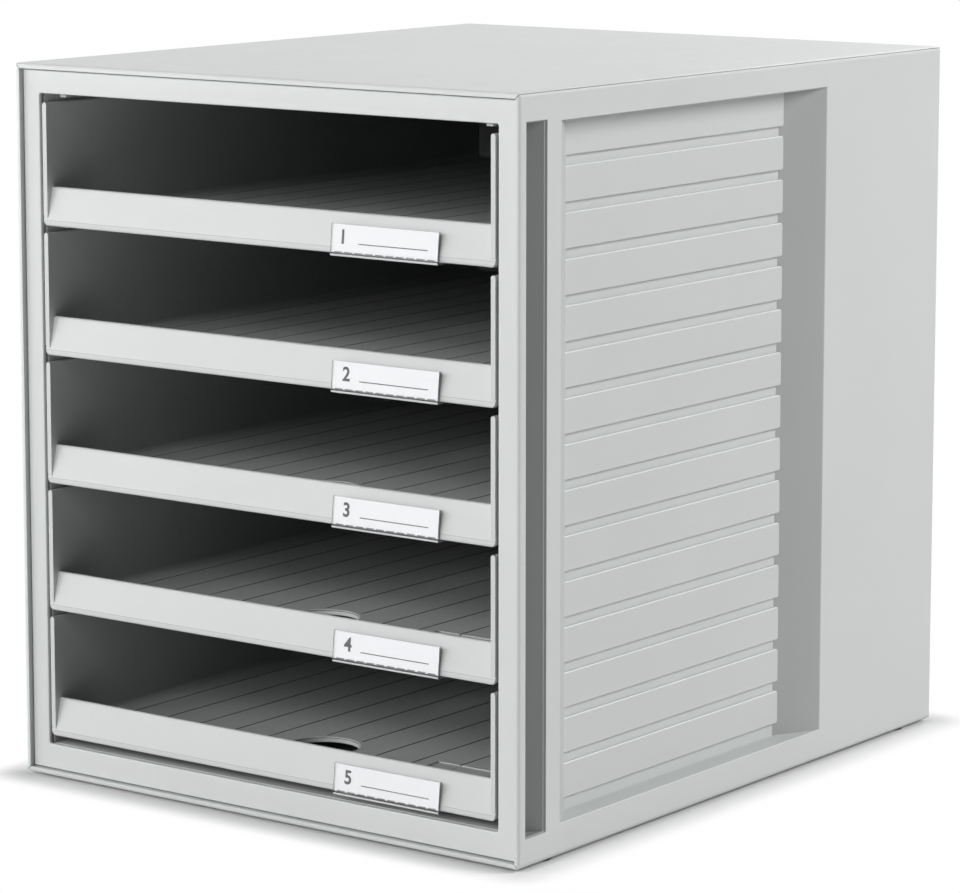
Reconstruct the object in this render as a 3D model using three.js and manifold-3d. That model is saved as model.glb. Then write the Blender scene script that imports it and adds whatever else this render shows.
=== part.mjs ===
// Desktop file drawer: a plastic cabinet with five open-front trays that slide on moulded ledges.
// Millimetres, +Z up. The origin is on the table, under the middle of the cabinet.
// The front faces -Y, so a tray slides out along -Y.
import * as THREE from 'three';
import { mergeVertices } from 'three/addons/utils/BufferGeometryUtils.js';
import Module from 'manifold-3d';

const wasm = await Module();
wasm.setup();

// Overall size of the cabinet
const width = 275;
const depth = 330;
const height = 320;

// Clearances
const seamGap = 0.3; // between fixed pieces that meet
const runGap = 0.7; // between a tray's side and the cabinet's inner wall
const overrun = 1; // how far a cutting shape passes the surface that it cuts
const sink = 0.5; // how far joined shapes reach into each other

// Outer shell of the cabinet
const shellWall = 2.5;
const innerWall = 2;
const doubleWallDepth = 13.2; // from the outer side face to the inner one
const frontEdgeRadius = 1.5;
const topCornerRadius = 2.3;
const bottomCornerRadius = 2.6;
const rearCornerRadius = 2.3;
const rearBottomRadius = 3.5;

// Opening at the front, and the frame round it
const openingSideMargin = 12.5;
const openingBottomMargin = 14.2;
const openingTopMargin = 13.2;
const frameRecess = 2;
const frameThickness = 2.5;
const frameEdgeRadius = 0.9;
const backInset = 1;
const backThickness = 2.2;
const backCornerRadius = 1.5;
const deckWebCount = 7;
const sideWebCount = 3;

// Slot along the front of each side
const slotWidth = 13;
const slotDepth = 10.8;
const slotEndMargin = 13.3; // from the shell's bottom, and about the same from its top
const slotTopMargin = 12.5;
const slotChamfer = 0.7;

// Ribbed grip recess in each side
const barWidth = 10.4; // between the slot and the recess
const recessLength = 202.1;
const recessDepth = 11.2;
const recessFrontLean = 19; // how far its front wall leans over its depth
const recessRearLean = 22.3;
const recessBottomMargin = 14.2;
const recessTopMargin = 12.8;
const ribCount = 14;
const ribRelief = 1.6;
const grooveHeight = 4.25;
const lowestGrooveHeight = 5.7;
const topBandHeight = 16.2;
const ribEndGap = 1.3; // from a rib's rear end to the leaning wall, at the rib's face
const ribCornerRadius = 1.2;
const ribChamfer = 0.35;

// Runner ledges and stop nubs
const bayCount = 5;
const ledgeReach = 9.5; // inwards from the inner wall
const ledgeThickness = 2.4;
const ledgeFrontInset = 6.5;
const ledgeTipRadius = 3;
const rearStopHeight = 6; // above a ledge
const nubWidth = 3.3;
const nubLength = 3;
const nubHeight = 1.7;
const nubFrontInset = 8;

// Trays
const sillGap = 3.8; // below the lowest tray
const lintelGap = 3.9; // above the highest tray
const trayGap = 3.1; // between one tray and the next
const trayFrontInset = 2.2;
const trayRearInset = 10.2;
const trayWall = 2.3;
const trayFloor = 2.4;
const trayRise = 3.5; // from the lip's lower edge to the floor's underside
const trayFillet = 2;
const trayCornerRadius = 2.7;
const trayUndersideRadius = 1.3;
const rimRoundShare = 0.48; // of a wall's thickness, for an edge that is rounded right over
const lipHeight = 17.2;
const lipUpright = 2.6; // height over which the lip is upright
const lipLean = 3.3; // how far its upper edge is set back
const floorGroovePitch = 19.8;
const floorGrooveWidth = 0.9;
const floorGrooveDepth = 0.8;
const fingerHoleRadius = 16.4;
const fingerHoleInset = 39.5; // from the tray's front to the hole's middle
const fingerHoleCollar = 2.3;
const fieldWidth = 52; // smooth field, sunk in the floor at the front right
const fieldLength = 20;
const fieldOffset = 57.5; // from the tray's middle to the field's near end
const fieldInset = 28.3; // from the tray's front
const fieldDepth = 0.5;
const drawerTravel = 250;
const lugLength = 8;
const lugDrop = 9; // how far below the rim a lug reaches on the wall
const lugRise = 2.9; // above the rim

// Label holders and cards
const labelWidth = 56;
const labelHeight = 12.7;
const labelOffset = 67.5; // from the tray's middle to the label's
const labelLeanDegrees = 5.5;
const labelSheet = 0.4;
const labelPocket = 0.5;
const labelHookThickness = 0.6;
const labelHookRise = 2.1;
const labelPocketFloor = 0.45;
const cardThickness = 0.2;
const cardEndMargin = 0.35;
const cardTopMargin = 0.4;

// Rubber feet
const footHeight = 1;
const footRadius = 6;
const footSideInset = 8.5;
const footEndInset = 24;

// Fineness of the curves
const arcSteps = 4;
const edgeRoundSteps = 2;
const holeSteps = 40;
const footSteps = 28;

// Places that follow from the sizes above
const halfWidth = width / 2;
const frontY = -depth / 2;
const rearY = depth / 2;
const baseZ = footHeight;
const topZ = height;
const innerSideX = halfWidth - doubleWallDepth;
const openingBottomZ = baseZ + openingBottomMargin;
const openingTopZ = topZ - openingTopMargin;
const frameFrontY = frontY + frameRecess;
const frameBackY = frameFrontY + frameThickness;
const structureFrontY = frameBackY + seamGap;
const backRearY = rearY - backInset;
const backFrontY = backRearY - backThickness;
const structureRearY = backFrontY - seamGap;
const mitreStep = seamGap * Math.SQRT1_2;

const trayHalfWidth = innerSideX - runGap;
const openingHeight = openingTopZ - openingBottomZ;
const trayHeight = (openingHeight - sillGap - lintelGap - (bayCount - 1) * trayGap) / bayCount;
const bayPitch = trayHeight + trayGap;
const trayFrontY = frontY + trayFrontInset;
const trayRearY = rearY - trayRearInset;
const nubRearY = frontY + nubFrontInset + nubLength;
const lugFrontY = nubRearY + seamGap + drawerTravel;

// A loop of points through corners [a, b, radius]; a corner that has a radius is rounded by an arc.
function rounded(corners) {
  const points = [];
  corners.forEach(([a, b, radius = 0], index) => {
    const corner = new THREE.Vector2(a, b);
    if (radius === 0) {
      points.push(corner);
      return;
    }
    const [beforeA, beforeB] = corners.at(index - 1);
    const [afterA, afterB] = corners[(index + 1) % corners.length];
    const towardsBefore = new THREE.Vector2(beforeA, beforeB).sub(corner).normalize();
    const towardsAfter = new THREE.Vector2(afterA, afterB).sub(corner).normalize();
    const halfAngle = Math.acos(towardsBefore.dot(towardsAfter)) / 2;
    const bisector = towardsBefore.clone().add(towardsAfter).normalize();
    const centre = corner.clone().addScaledVector(bisector, radius / Math.sin(halfAngle));
    const spoke = corner.clone().addScaledVector(towardsBefore, radius / Math.tan(halfAngle)).sub(centre);
    const turn = Math.sign(towardsAfter.cross(towardsBefore)) * (Math.PI - 2 * halfAngle);
    for (let step = 0; step <= arcSteps; step += 1) {
      points.push(spoke.clone().rotateAround(new THREE.Vector2(), (turn * step) / arcSteps).add(centre));
    }
  });
  return points;
}

function rectangle(a0, b0, a1, b1, radius = 0) {
  return rounded([[a0, b0, radius], [a1, b0, radius], [a1, b1, radius], [a0, b1, radius]]);
}

// How a flat outline's two axes and its direction of extrusion lie in the object, by that direction.
const axisFrames = {
  x: [new THREE.Vector3(0, 1, 0), new THREE.Vector3(0, 0, 1), new THREE.Vector3(1, 0, 0)],
  y: [new THREE.Vector3(1, 0, 0), new THREE.Vector3(0, 0, 1), new THREE.Vector3(0, -1, 0)],
  z: [new THREE.Vector3(1, 0, 0), new THREE.Vector3(0, 1, 0), new THREE.Vector3(0, 0, 1)],
};

// An outline extruded along x, y or z between two places. Outlines along x hold (y, z) points,
// those along y hold (x, z), and those along z hold (x, y). A bevel cuts the edges of both ends:
// in one step it is a chamfer, and in more it is rounded.
function extrusion(axis, points, from, to, { hole, bevel = 0, bevelSteps = 1 } = {}) {
  const shape = new THREE.Shape(points);
  if (hole) {
    shape.holes.push(new THREE.Path(hole));
  }
  const low = Math.min(from, to);
  const high = Math.max(from, to);
  const geometry = new THREE.ExtrudeGeometry(shape, {
    depth: high - low - 2 * bevel,
    bevelEnabled: bevel > 0,
    bevelThickness: bevel,
    bevelSize: bevel,
    bevelOffset: -bevel,
    bevelSegments: bevelSteps,
  });
  geometry.translate(0, 0, bevel);
  geometry.applyMatrix4(new THREE.Matrix4().makeBasis(...axisFrames[axis]));
  const start = axis === 'y' ? high : low;
  const shift = { x: [start, 0, 0], y: [0, start, 0], z: [0, 0, start] }[axis];
  return geometry.translate(...shift);
}

function solidFrom(geometry) {
  const bare = geometry.clone();
  bare.deleteAttribute('normal');
  bare.deleteAttribute('uv');
  const merged = mergeVertices(bare);
  const mesh = new wasm.Mesh({
    numProp: 3,
    vertProperties: new Float32Array(merged.attributes.position.array),
    triVerts: new Uint32Array(merged.index.array),
  });
  return new wasm.Manifold(mesh);
}

function bar(axis, points, from, to, options) {
  return solidFrom(extrusion(axis, points, from, to, options));
}

function block(x0, x1, y0, y1, z0, z1) {
  return bar('z', rectangle(x0, y0, x1, y1), z0, z1);
}

function joined(solids) {
  return solids.reduce((whole, next) => whole.add(next));
}

function without(whole, cutters) {
  return cutters.reduce((rest, cutter) => rest.subtract(cutter), whole);
}

function meshFrom(name, solid, material) {
  const result = solid.getMesh();
  const geometry = new THREE.BufferGeometry();
  geometry.setAttribute('position', new THREE.BufferAttribute(result.vertProperties, 3));
  geometry.setIndex(new THREE.BufferAttribute(result.triVerts, 1));
  geometry.computeVertexNormals();
  const mesh = new THREE.Mesh(geometry, material);
  mesh.name = name;
  return mesh;
}

function finish(color, roughness, extra = {}) {
  return new THREE.MeshStandardMaterial({ color, roughness, metalness: 0, flatShading: true, ...extra });
}

const materials = {
  casing: finish('#cfd2d1', 0.45),
  tray: finish('#dcdedd', 0.4),
  holder: finish('#eef2f4', 0.15, { transparent: true, opacity: 0.4 }),
  card: finish('#f6f7f8', 0.8),
  foot: finish('#3a3b3c', 0.9),
};

// The space that the shell fills: its front, side and plan outlines all round their own corners.
function shellEnvelope() {
  const frontView = rounded([
    [-halfWidth, baseZ, bottomCornerRadius], [halfWidth, baseZ, bottomCornerRadius],
    [halfWidth, topZ, topCornerRadius], [-halfWidth, topZ, topCornerRadius],
  ]);
  const sideView = rounded([
    [frontY, baseZ, frontEdgeRadius], [rearY, baseZ, rearBottomRadius],
    [rearY, topZ, rearCornerRadius], [frontY, topZ, frontEdgeRadius],
  ]);
  const planView = rounded([
    [-halfWidth, frontY, frontEdgeRadius], [halfWidth, frontY, frontEdgeRadius],
    [halfWidth, rearY, rearCornerRadius], [-halfWidth, rearY, rearCornerRadius],
  ]);
  return bar('y', frontView, frontY, rearY)
    .intersect(bar('x', sideView, -halfWidth, halfWidth))
    .intersect(bar('z', planView, baseZ, topZ));
}

const envelope = shellEnvelope();

// Side panels. A plan point is [distance from the front, distance in from the outer face].
const slotFront = structureFrontY - frontY;
const slotRear = slotFront + slotWidth;
const slotBottomZ = baseZ + slotEndMargin;
const slotTopZ = topZ - slotTopMargin;
const recessFront = slotRear + barWidth;
const recessRear = recessFront + recessLength;
const recessBottomZ = baseZ + recessBottomMargin;
const recessTopZ = topZ - recessTopMargin;
const linerDepth = doubleWallDepth - innerWall; // outer face of the inner wall
const structureRear = structureRearY - frontY;

function planPoints(side, points) {
  return points.map(([along, inwards]) => new THREE.Vector2(side * (halfWidth - inwards), frontY + along));
}

// The slot is open at its front behind the skin, where the front frame closes it.
function slotVoid(side) {
  const plan = planPoints(side, [
    [slotFront, -overrun], [slotRear, -overrun], [slotRear, 0], [slotRear - slotDepth, slotDepth],
    [slotFront - overrun, slotDepth], [slotFront - overrun, shellWall], [slotFront, shellWall],
  ]);
  const chamfer = rectangle(
    frontY + slotFront - slotChamfer, slotBottomZ - slotChamfer,
    frontY + slotRear + slotChamfer, slotTopZ + slotChamfer,
  );
  const flare = bar(
    'x', chamfer, side * (halfWidth - slotChamfer), side * (halfWidth + slotChamfer + overrun),
    { bevel: slotChamfer },
  );
  return bar('z', plan, slotBottomZ, slotTopZ).add(flare);
}

function recessVoid(side) {
  const plan = planPoints(side, [
    [recessFront, -overrun], [recessRear, -overrun], [recessRear, 0],
    [recessRear - recessRearLean, recessDepth], [recessFront + recessFrontLean, recessDepth],
    [recessFront, 0],
  ]);
  return bar('z', plan, recessBottomZ, recessTopZ);
}

// How thick a leaning inner wall is along the plan.
function leaningThickness(run, rise) {
  return (innerWall * Math.hypot(run, rise)) / rise;
}

// The back of each leaning wall, by its distance in from the outer face.
function behindSlotAt(inwards) {
  return slotRear - inwards + leaningThickness(slotDepth, slotDepth);
}

function beforeRecessAt(inwards) {
  const face = recessFront + (recessFrontLean * inwards) / recessDepth;
  return face - leaningThickness(recessFrontLean, recessDepth);
}

function behindRecessAt(inwards) {
  const face = recessRear - (recessRearLean * inwards) / recessDepth;
  return face + leaningThickness(recessRearLean, recessDepth);
}

// The hollow inside the double wall: two cells beside the recess, and one above and one below it.
function wallHollows(side) {
  const rearEnd = structureRear + overrun;
  const between = planPoints(side, [
    [behindSlotAt(shellWall), shellWall], [beforeRecessAt(shellWall), shellWall],
    [beforeRecessAt(linerDepth), linerDepth], [behindSlotAt(linerDepth), linerDepth],
  ]);
  const behind = planPoints(side, [
    [behindRecessAt(shellWall), shellWall], [rearEnd, shellWall],
    [rearEnd, linerDepth], [behindRecessAt(linerDepth), linerDepth],
  ]);
  const across = planPoints(side, [
    [slotRear, shellWall], [rearEnd, shellWall], [rearEnd, linerDepth], [slotRear, linerDepth],
  ]);
  return [
    bar('z', between, baseZ, topZ),
    bar('z', behind, baseZ, topZ),
    bar('z', across, baseZ, recessBottomZ - innerWall),
    bar('z', across, recessTopZ + innerWall, topZ),
  ];
}

// Upright webs that tie the skin to the inner wall behind the recess.
function sideWebs(side) {
  const start = behindRecessAt(linerDepth);
  const pitch = (structureRear - start) / (sideWebCount + 1);
  const webs = [];
  for (let index = 1; index <= sideWebCount; index += 1) {
    const middle = frontY + start + index * pitch;
    webs.push(block(
      side * (halfWidth - linerDepth - sink), side * (halfWidth - shellWall + sink),
      middle - innerWall / 2, middle + innerWall / 2,
      baseZ + shellWall + seamGap, topZ - shellWall - seamGap,
    ));
  }
  return webs;
}

// The ribs grow out of the recess's floor and front wall, and their rear ends stand free.
function recessRibs(side) {
  const faceDepth = recessDepth - ribRelief;
  const frontWall = recessFront + (recessFrontLean * faceDepth) / recessDepth;
  const rearWall = recessRear - (recessRearLean * faceDepth) / recessDepth;
  const front = frontY + frontWall - ribChamfer - sink;
  const rear = frontY + rearWall - ribEndGap;
  const bandBottom = recessTopZ - topBandHeight;
  const ribPitch = (bandBottom - recessBottomZ - lowestGrooveHeight) / ribCount;
  const outlines = [];
  for (let index = 0; index < ribCount; index += 1) {
    const bottom = recessBottomZ + lowestGrooveHeight + index * ribPitch;
    const top = bottom + ribPitch - grooveHeight;
    outlines.push([
      [front, bottom], [rear, bottom, ribCornerRadius], [rear, top, ribCornerRadius], [front, top],
    ]);
  }
  const bandTop = recessTopZ + ribChamfer + sink;
  outlines.push([
    [front, bandBottom], [rear, bandBottom, ribCornerRadius], [rear, bandTop], [front, bandTop],
  ]);
  const rootX = halfWidth - recessDepth - ribChamfer - sink;
  const faceX = halfWidth - faceDepth;
  return outlines.map((corners) => bar(
    'x', rounded(corners), side * rootX, side * faceX, { bevel: ribChamfer },
  ));
}

function bayBottomZ(bay) {
  return openingBottomZ + sillGap + (bayCount - bay) * bayPitch;
}

// A nub that hangs from a ceiling, in the way of a lug on the tray below it.
function stopNub(side, ceilingZ, reachUp) {
  const innerX = innerSideX - ledgeReach;
  return block(
    side * innerX, side * (innerX + nubWidth),
    frontY + nubFrontInset, nubRearY, ceilingZ - nubHeight, ceilingZ + reachUp,
  );
}

// The highest tray is stopped by nubs under the top panel, and the others by the ledge above them.
function topStop(side) {
  return stopNub(side, openingTopZ, -seamGap);
}

function runnerLedge(side, bay) {
  const top = bayBottomZ(bay) + trayRise - seamGap;
  const front = frontY + ledgeFrontInset;
  const innerX = side * (innerSideX - ledgeReach);
  const rootX = side * (innerSideX - seamGap);
  const plan = rounded([
    [rootX, front], [rootX, structureRearY], [innerX, structureRearY], [innerX, front, ledgeTipRadius],
  ]);
  const rearStop = block(
    rootX, innerX, trayRearY + seamGap, structureRearY, top - sink, top + rearStopHeight,
  );
  const ledge = bar('z', plan, top - ledgeThickness, top).add(rearStop);
  return bay === bayCount ? ledge : ledge.add(stopNub(side, top - ledgeThickness, sink));
}

function sidePanel(side) {
  const outerX = side * halfWidth;
  const skinX = side * (halfWidth - shellWall);
  const skin = bar('y', [
    new THREE.Vector2(outerX, baseZ + mitreStep), new THREE.Vector2(outerX, topZ - mitreStep),
    new THREE.Vector2(skinX, topZ - shellWall - mitreStep),
    new THREE.Vector2(skinX, baseZ + shellWall + mitreStep),
  ], frontY, rearY);
  const doubleWall = block(
    side * innerSideX, side * (halfWidth - shellWall / 2), structureFrontY, structureRearY,
    baseZ + shellWall + seamGap, topZ - shellWall - seamGap,
  );
  const cutters = [...wallHollows(side), slotVoid(side), recessVoid(side)];
  const hollowed = without(joined([skin, doubleWall]), cutters);
  return joined([hollowed, ...sideWebs(side), ...recessRibs(side)]).intersect(envelope);
}

// Top and bottom panels: an outer skin, mitred to the sides, and an inner deck on webs.
function deckPanel(skinZ, deckZ) {
  const up = Math.sign(deckZ - skinZ);
  const skinInnerZ = skinZ + up * shellWall;
  const skin = bar('y', [
    new THREE.Vector2(-halfWidth + mitreStep, skinZ), new THREE.Vector2(halfWidth - mitreStep, skinZ),
    new THREE.Vector2(halfWidth - shellWall - mitreStep, skinInnerZ),
    new THREE.Vector2(-halfWidth + shellWall + mitreStep, skinInnerZ),
  ], frontY, rearY);
  const deckHalfWidth = innerSideX - seamGap;
  const cellPitch = (2 * deckHalfWidth - innerWall) / (deckWebCount + 1);
  const cells = [];
  for (let index = 0; index <= deckWebCount; index += 1) {
    const start = -deckHalfWidth + innerWall + index * cellPitch;
    cells.push(block(
      start, start + cellPitch - innerWall, structureFrontY - overrun, structureRearY + overrun,
      skinInnerZ, deckZ - up * innerWall,
    ));
  }
  const deckOutline = rectangle(-deckHalfWidth, skinInnerZ - (up * shellWall) / 2, deckHalfWidth, deckZ);
  const deck = bar('y', deckOutline, structureFrontY, structureRearY);
  return joined([skin, without(deck, cells)]).intersect(envelope);
}

function topPanel() {
  return deckPanel(topZ, openingTopZ);
}

function bottomPanel() {
  return deckPanel(baseZ, openingBottomZ);
}

function backPanel() {
  const edgeX = halfWidth - shellWall - seamGap;
  const outline = rectangle(
    -edgeX, baseZ + shellWall + seamGap, edgeX, topZ - shellWall - seamGap, backCornerRadius,
  );
  return bar('y', outline, backFrontY, backRearY);
}

function frontFrame() {
  const edgeX = halfWidth - shellWall - seamGap;
  const outer = rectangle(-edgeX, baseZ + shellWall + seamGap, edgeX, topZ - shellWall - seamGap);
  const openingX = halfWidth - openingSideMargin;
  const hole = rectangle(-openingX, openingBottomZ, openingX, openingTopZ, frameEdgeRadius);
  const roundEdges = { hole, bevel: frameEdgeRadius, bevelSteps: edgeRoundSteps };
  return bar('y', outer, frameFrontY, frameBackY, roundEdges);
}

// Trays. Heights in a tray's own outlines are measured from its lip's lower edge.
function lipFace(inset, z) {
  const lean = (lipLean * Math.max(0, z - lipUpright)) / (lipHeight - lipUpright);
  return trayFrontY + inset + lean;
}

function trayPan() {
  const floorTop = trayRise + trayFloor;
  const innerX = trayHalfWidth - trayWall;
  const rimRadius = trayWall * rimRoundShare;
  const grooveCount = 2 * Math.floor((innerX - trayFillet) / floorGroovePitch + 1 / 2);
  const notches = [];
  for (let index = 0; index < grooveCount; index += 1) {
    const middle = ((grooveCount - 1) / 2 - index) * floorGroovePitch;
    notches.push(
      [middle + floorGrooveWidth / 2, floorTop],
      [middle, floorTop - floorGrooveDepth],
      [middle - floorGrooveWidth / 2, floorTop],
    );
  }
  const outline = rounded([
    [trayHalfWidth, trayRise, trayUndersideRadius], [trayHalfWidth, trayHeight, rimRadius],
    [innerX, trayHeight, rimRadius], [innerX, floorTop, trayFillet],
    ...notches,
    [-innerX, floorTop, trayFillet], [-innerX, trayHeight, rimRadius],
    [-trayHalfWidth, trayHeight, rimRadius], [-trayHalfWidth, trayRise, trayUndersideRadius],
  ]);
  return bar('y', outline, trayFrontY, trayRearY);
}

function trayLip() {
  const edgeRadius = trayWall * rimRoundShare;
  const profile = rounded([
    [lipFace(0, 0), 0, edgeRadius], [lipFace(trayWall, 0), 0, edgeRadius],
    [lipFace(trayWall, lipUpright), lipUpright],
    [lipFace(trayWall, lipHeight), lipHeight, edgeRadius],
    [lipFace(0, lipHeight), lipHeight, edgeRadius],
    [lipFace(0, lipUpright), lipUpright],
  ]);
  const frontView = rounded([
    [-trayHalfWidth, 0, trayCornerRadius], [trayHalfWidth, 0, trayCornerRadius],
    [trayHalfWidth, trayHeight], [-trayHalfWidth, trayHeight],
  ]);
  const lip = bar('x', profile, -trayHalfWidth, trayHalfWidth);
  return lip.intersect(bar('y', frontView, trayFrontY - overrun, trayRearY));
}

// The space in front of the leaning lip, between the side walls.
function beforeLip() {
  const innerX = trayHalfWidth - trayWall;
  const profile = [
    new THREE.Vector2(trayFrontY - overrun, lipUpright),
    new THREE.Vector2(lipFace(sink, lipUpright), lipUpright),
    new THREE.Vector2(lipFace(sink, lipHeight), lipHeight),
    new THREE.Vector2(trayFrontY - overrun, lipHeight),
  ];
  return bar('x', profile, -innerX, innerX);
}

function fingerRing(radius, bottom, top) {
  const geometry = new THREE.CylinderGeometry(radius, radius, top - bottom, holeSteps);
  geometry.rotateX(Math.PI / 2);
  geometry.translate(0, trayFrontY + fingerHoleInset, (top + bottom) / 2);
  return solidFrom(geometry);
}

function stopLug(side) {
  const wallX = trayHalfWidth - trayWall;
  const tipX = innerSideX - ledgeReach;
  const outline = [
    new THREE.Vector2(side * (wallX + sink), trayHeight - lugDrop),
    new THREE.Vector2(side * (wallX + sink), trayHeight + lugRise),
    new THREE.Vector2(side * tipX, trayHeight + lugRise),
    new THREE.Vector2(side * tipX, trayHeight - lugDrop + (wallX - tipX)),
  ];
  return bar('y', outline, lugFrontY, lugFrontY + lugLength);
}

function trayShape() {
  const floorTop = trayRise + trayFloor;
  const innerX = trayHalfWidth - trayWall;
  const rearWall = block(
    -innerX - sink, innerX + sink, trayRearY - trayWall, trayRearY, trayRise, trayHeight,
  );
  const collar = fingerRing(fingerHoleRadius + fingerHoleCollar, trayRise, floorTop);
  const shell = joined([trayPan().subtract(beforeLip()), trayLip(), rearWall, collar]);
  const hole = fingerRing(fingerHoleRadius, trayRise - overrun, floorTop + overrun);
  const fieldFront = trayFrontY + fieldInset;
  const field = block(
    fieldOffset, fieldOffset + fieldWidth, fieldFront, fieldFront + fieldLength,
    floorTop - fieldDepth, floorTop + overrun,
  );
  return joined([without(shell, [hole, field]), stopLug(-1), stopLug(1)]);
}

// Label holder: a clear pocket that leans back less than the lip, with a hook under the lip's edge.
// Its own outline starts at its front, and it comes closest to the lip where the lip starts to lean.
const labelLean = Math.tan(THREE.MathUtils.degToRad(labelLeanDegrees));
const labelThickness = 2 * labelSheet + labelPocket;
const labelStandOff = labelThickness + lipUpright * labelLean + seamGap;
const labelFrontY = trayFrontY - labelStandOff;

function leaning(inset, z) {
  return new THREE.Vector2(inset + z * labelLean, z);
}

function labelHolderShape() {
  const hookTop = -seamGap;
  const hookBottom = hookTop - labelHookThickness;
  const hookInner = labelStandOff + trayWall + seamGap;
  const outline = [
    new THREE.Vector2(0, hookBottom),
    leaning(0, 0),
    leaning(0, labelHeight),
    leaning(labelSheet, labelHeight),
    leaning(labelSheet, labelPocketFloor),
    leaning(labelSheet + labelPocket, labelPocketFloor),
    leaning(labelSheet + labelPocket, labelHeight),
    leaning(labelThickness, labelHeight),
    leaning(labelThickness, 0),
    new THREE.Vector2(labelThickness, hookTop),
    new THREE.Vector2(hookInner, hookTop),
    new THREE.Vector2(hookInner, hookTop + labelHookRise),
    new THREE.Vector2(hookInner + labelHookThickness, hookTop + labelHookRise),
    new THREE.Vector2(hookInner + labelHookThickness, hookBottom),
  ];
  return extrusion('x', outline, labelOffset - labelWidth / 2, labelOffset + labelWidth / 2);
}

function labelCardShape() {
  const play = (labelPocket - cardThickness) / 2;
  const outline = [
    leaning(labelSheet + play, labelPocketFloor + play),
    leaning(labelSheet + play, labelHeight - cardTopMargin),
    leaning(labelSheet + play + cardThickness, labelHeight - cardTopMargin),
    leaning(labelSheet + play + cardThickness, labelPocketFloor + play),
  ];
  const halfLength = labelWidth / 2 - cardEndMargin;
  return extrusion('x', outline, labelOffset - halfLength, labelOffset + halfLength);
}

function foot(name, side, end) {
  const geometry = new THREE.CylinderGeometry(footRadius, footRadius, footHeight, footSteps);
  geometry.rotateX(Math.PI / 2);
  const mesh = new THREE.Mesh(geometry, materials.foot);
  mesh.name = name;
  mesh.position.set(side * (halfWidth - footSideInset), end * (rearY - footEndInset), footHeight / 2);
  return mesh;
}

function casing() {
  const group = new THREE.Group();
  group.add(
    meshFrom('left_side_panel', sidePanel(-1), materials.casing),
    meshFrom('right_side_panel', sidePanel(1), materials.casing),
    meshFrom('top_panel', topPanel(), materials.casing),
    meshFrom('bottom_panel', bottomPanel(), materials.casing),
    meshFrom('back_panel', backPanel(), materials.casing),
    meshFrom('front_frame', frontFrame(), materials.casing),
    foot('foot_front_left', -1, -1),
    foot('foot_front_right', 1, -1),
    foot('foot_rear_left', -1, 1),
    foot('foot_rear_right', 1, 1),
    meshFrom('top_stop_left', topStop(-1), materials.casing),
    meshFrom('top_stop_right', topStop(1), materials.casing),
  );
  for (let bay = 1; bay <= bayCount; bay += 1) {
    group.add(
      meshFrom(`ledge_left_${bay}`, runnerLedge(-1, bay), materials.casing),
      meshFrom(`ledge_right_${bay}`, runnerLedge(1, bay), materials.casing),
    );
  }
  return group;
}

function drawers() {
  const tray = trayShape();
  const holder = labelHolderShape();
  const card = labelCardShape();
  const group = new THREE.Group();
  for (let bay = 1; bay <= bayCount; bay += 1) {
    const drawer = new THREE.Group();
    drawer.position.z = bayBottomZ(bay);
    const trayMesh = meshFrom(`drawer_tray_${bay}`, tray, materials.tray);
    const holderMesh = new THREE.Mesh(holder, materials.holder);
    holderMesh.name = `label_holder_${bay}`;
    holderMesh.position.y = labelFrontY;
    const cardMesh = new THREE.Mesh(card, materials.card);
    cardMesh.name = `label_card_${bay}`;
    cardMesh.position.y = labelFrontY;
    drawer.add(trayMesh, holderMesh, cardMesh);
    group.add(drawer);
  }
  return group;
}

const cabinet = new THREE.Group();
cabinet.add(casing(), drawers());

export default cabinet;
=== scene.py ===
import math

import bmesh
import bpy
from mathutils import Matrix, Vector


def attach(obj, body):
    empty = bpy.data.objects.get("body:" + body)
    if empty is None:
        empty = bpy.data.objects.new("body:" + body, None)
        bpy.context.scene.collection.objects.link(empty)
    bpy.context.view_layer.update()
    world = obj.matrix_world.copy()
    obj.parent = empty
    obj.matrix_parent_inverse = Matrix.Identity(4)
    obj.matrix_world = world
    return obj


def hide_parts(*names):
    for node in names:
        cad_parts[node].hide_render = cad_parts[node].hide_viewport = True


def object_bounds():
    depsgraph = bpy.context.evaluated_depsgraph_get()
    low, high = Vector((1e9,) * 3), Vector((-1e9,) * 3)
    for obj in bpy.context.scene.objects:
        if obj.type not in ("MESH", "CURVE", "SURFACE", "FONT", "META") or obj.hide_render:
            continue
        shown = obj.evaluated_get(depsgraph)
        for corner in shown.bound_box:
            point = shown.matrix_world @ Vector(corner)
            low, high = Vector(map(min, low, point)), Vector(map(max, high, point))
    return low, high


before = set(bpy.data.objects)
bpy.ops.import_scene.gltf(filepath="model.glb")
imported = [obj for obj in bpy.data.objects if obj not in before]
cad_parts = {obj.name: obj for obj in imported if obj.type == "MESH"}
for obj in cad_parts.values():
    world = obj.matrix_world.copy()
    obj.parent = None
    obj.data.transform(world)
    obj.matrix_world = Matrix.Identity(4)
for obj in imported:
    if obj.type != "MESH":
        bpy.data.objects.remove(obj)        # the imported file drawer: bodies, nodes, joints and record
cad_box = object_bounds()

bl_info = {
    "name": "Desktop file drawer",
    "version": (1, 0, 0),
    "blender": (4, 5, 0),
    "location": "View3D > Sidebar > File drawer",
    "description": "Finishes the mouldings, labels and studio of a five-tray desktop file drawer",
    "category": "Object",
}

MILLIMETRE = 0.001
BAYS = range(1, 6)
CASING_BODY = "casing"

# Angles between neighbouring faces
SHARP_ANGLE = math.radians(24)           # an edge that turns more stays sharp
FLAT_ANGLE = math.radians(0.5)           # faces that turn less are merged
FOLD_ANGLE = math.radians(8)             # a tray's lip turns more than this at its fold

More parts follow.
